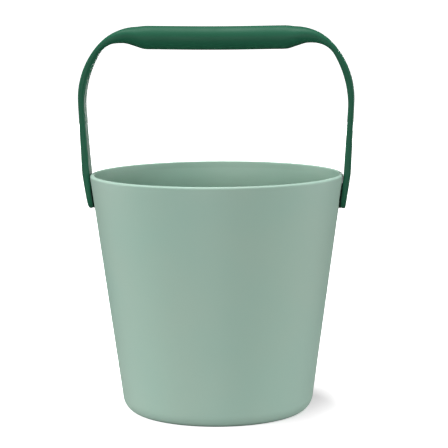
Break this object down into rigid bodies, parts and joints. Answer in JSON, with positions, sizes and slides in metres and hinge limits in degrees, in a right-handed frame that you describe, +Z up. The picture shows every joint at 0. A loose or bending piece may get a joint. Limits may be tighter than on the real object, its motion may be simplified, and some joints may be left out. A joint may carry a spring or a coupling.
{
  "type": "sand bucket",
  "caption": "Round tapered sand bucket with a rounded rim and a swinging rubber strap handle that thickens into a round grip.",
  "frame": {"origin": "on the bucket's axis at the plane it stands on", "axes": "+Z up through the mouth; the two handle pivots lie on a line parallel to X, so the upright handle spans X and the object looks the same from the front (-Y) and the back"},
  "size_m": [0.1912, 0.1756, 0.2694],
  "materials": {
    "bucket_plastic": "satin moulded plastic, pale sage green",
    "handle_rubber": "satin moulded rubber, dark green",
    "stud_plastic": "satin moulded plastic, dark green",
    "washer_rubber": "matt rubber, dark green"
  },
  "bodies": {
    "bucket": {"bucket_shell": "bucket_plastic", "left_pivot_stud": "stud_plastic", "right_pivot_stud": "stud_plastic", "left_pivot_washer": "washer_rubber", "right_pivot_washer": "washer_rubber"},
    "handle": {"handle": "handle_rubber"}
  },
  "joints": [
    {"name": "handle_swing", "type": "hinge", "parent": "bucket", "child": "handle", "pos_m": [0, 0, 0.1515], "axis": [1, 0, 0], "range_deg": [-128, 128]}
  ]
}
